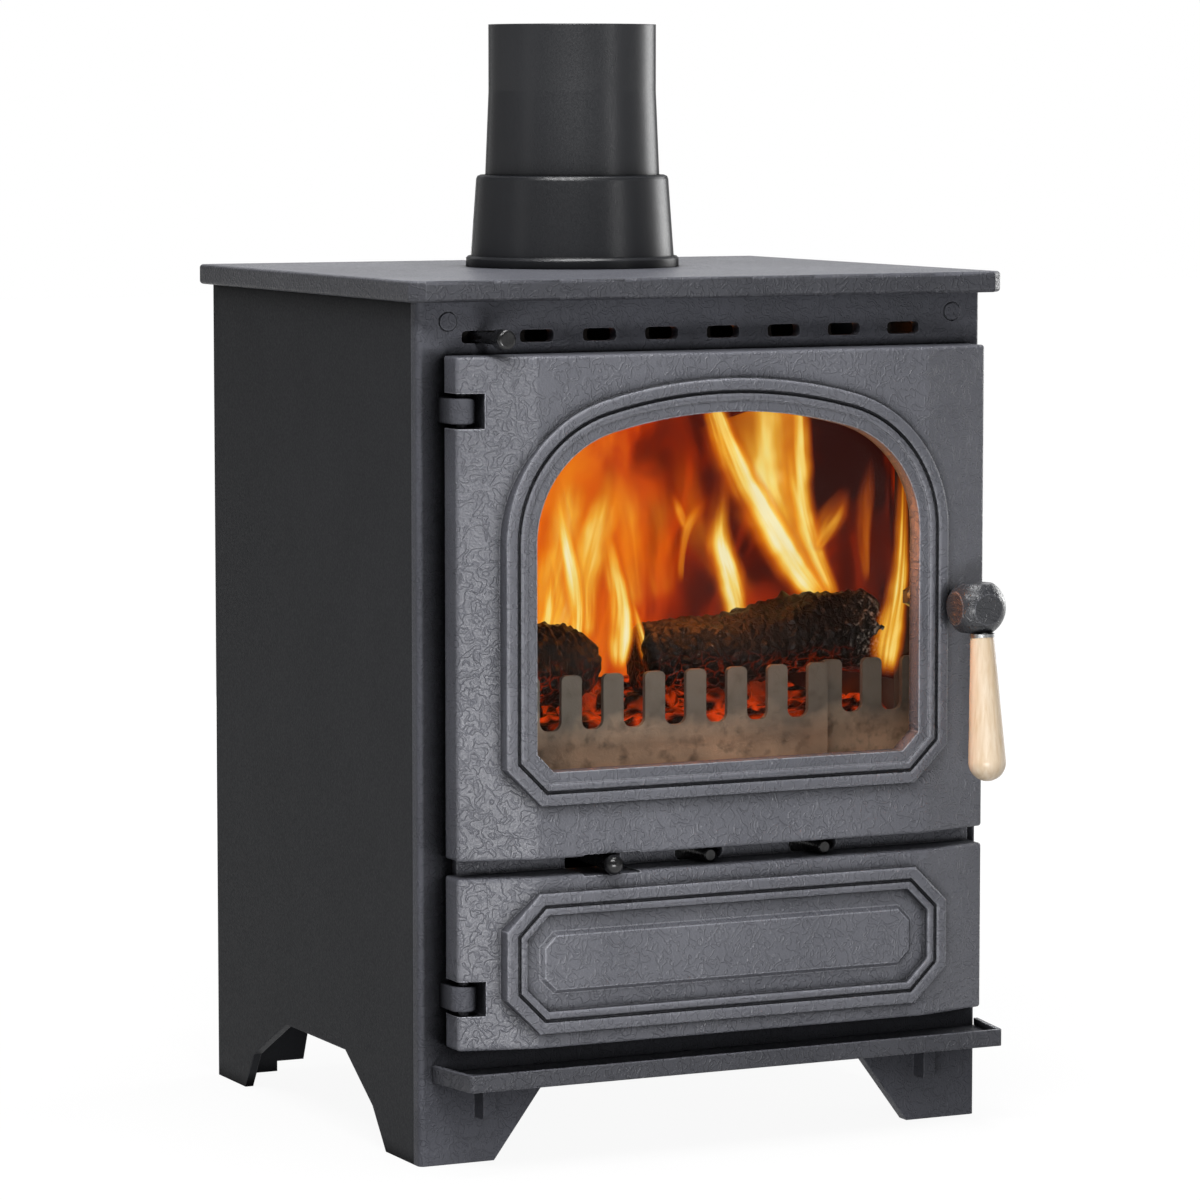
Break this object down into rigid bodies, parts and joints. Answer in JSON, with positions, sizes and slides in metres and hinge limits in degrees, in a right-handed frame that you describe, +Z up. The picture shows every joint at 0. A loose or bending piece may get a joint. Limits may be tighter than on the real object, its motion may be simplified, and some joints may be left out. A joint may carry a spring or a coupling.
{
  "type": "multi-fuel stove",
  "caption": "Small multi-fuel stove with an arched glass door, slotted air controls, wooden door handle, hearth shelf and a top flue pipe.",
  "frame": {"origin": "on the floor under the middle of the part's box", "axes": "+Z up along the flue, -Y out of the door's front, +X to the right as seen from the front"},
  "size_m": [0.4508, 0.4738, 0.771],
  "materials": {
    "cast_paint": "matt charcoal stove paint on cast iron",
    "steel_paint": "matt charcoal stove paint on steel plate",
    "bare_iron": "bare cast iron, sooted",
    "heat_steel": "heat-tinted plain steel",
    "bright_steel": "plain zinc steel",
    "black_steel": "gloss black",
    "fire_brick": "rough fired clay",
    "ceramic_glass": "clear heat-proof glass",
    "seal_rope": "black glass-fibre rope",
    "embers": "glowing embers and ash",
    "charred_wood": "wood burnt to charcoal",
    "beech": "lacquered beech"
  },
  "bodies": {
    "stove": {"left_side_panel": "steel_paint", "right_side_panel": "steel_paint", "back_panel": "steel_paint", "base_plate": "steel_paint", "front_frame": "cast_paint", "fascia_plugs": "cast_paint", "top_plate": "cast_paint", "flue_collar": "cast_paint", "flue_pipe": "steel_paint", "rear_outlet_cover": "cast_paint", "rear_cover_bolts": "bright_steel", "baffle_plate": "bare_iron", "left_firebrick": "fire_brick", "right_firebrick": "fire_brick", "rear_firebrick": "fire_brick", "grate": "bare_iron", "grate_rails": "bare_iron", "fire_fence": "heat_steel", "fence_ends": "heat_steel", "ash_pan": "heat_steel", "ash_pan_grip": "heat_steel", "hearth_shelf": "cast_paint", "airwash_guides": "bright_steel", "latch_keeper": "bright_steel", "keeper_screws": "bright_steel", "fuel_bed": "embers", "large_log": "charred_wood", "small_log": "charred_wood"},
    "door": {"door_leaf": "cast_paint", "door_glass": "ceramic_glass", "glass_gasket": "seal_rope", "glass_clips": "bright_steel", "glass_clip_screws": "bright_steel", "door_rope": "seal_rope", "hinge_pins": "bright_steel", "air_slide_guides": "bright_steel"},
    "handle": {"handle_head": "cast_paint", "handle_ferrule": "bright_steel", "handle_grip": "beech", "grip_stud": "bright_steel", "latch_spindle": "bright_steel", "latch_spacer": "bright_steel", "latch_cam": "bright_steel", "spindle_nut": "bright_steel"},
    "airwash": {"airwash_slide": "bright_steel", "airwash_rod": "black_steel", "airwash_knob": "black_steel"},
    "left_air": {"left_air_slide": "black_steel", "left_air_pin": "black_steel"},
    "right_air": {"right_air_slide": "black_steel", "right_air_pin": "black_steel"},
    "riddle": {"riddling_plate": "bare_iron", "riddling_rod": "black_steel", "riddling_knob": "black_steel"}
  },
  "joints": [
    {"name": "door_hinge", "type": "hinge", "parent": "stove", "child": "door", "pos_m": [-0.191, -0.16113, 0.369], "axis": [0, 0, -1], "range_deg": [0, 110]},
    {"name": "handle_turn", "type": "hinge", "parent": "door", "child": "handle", "pos_m": [0.1765, -0.1756, 0.369], "axis": [0, -1, 0], "range_deg": [0, 90]},
    {"name": "airwash_slide_x", "type": "slide", "parent": "stove", "child": "airwash", "axis": [1, 0, 0], "range_m": [-0.008, 0.016]},
    {"name": "left_air_slide_x", "type": "slide", "parent": "door", "child": "left_air", "axis": [1, 0, 0], "range_m": [-0.011, 0.011]},
    {"name": "right_air_slide_x", "type": "slide", "parent": "door", "child": "right_air", "axis": [1, 0, 0], "range_m": [-0.011, 0.011]},
    {"name": "riddling_slide_x", "type": "slide", "parent": "stove", "child": "riddle", "axis": [1, 0, 0], "range_m": [-0.012, 0.012]}
  ]
}
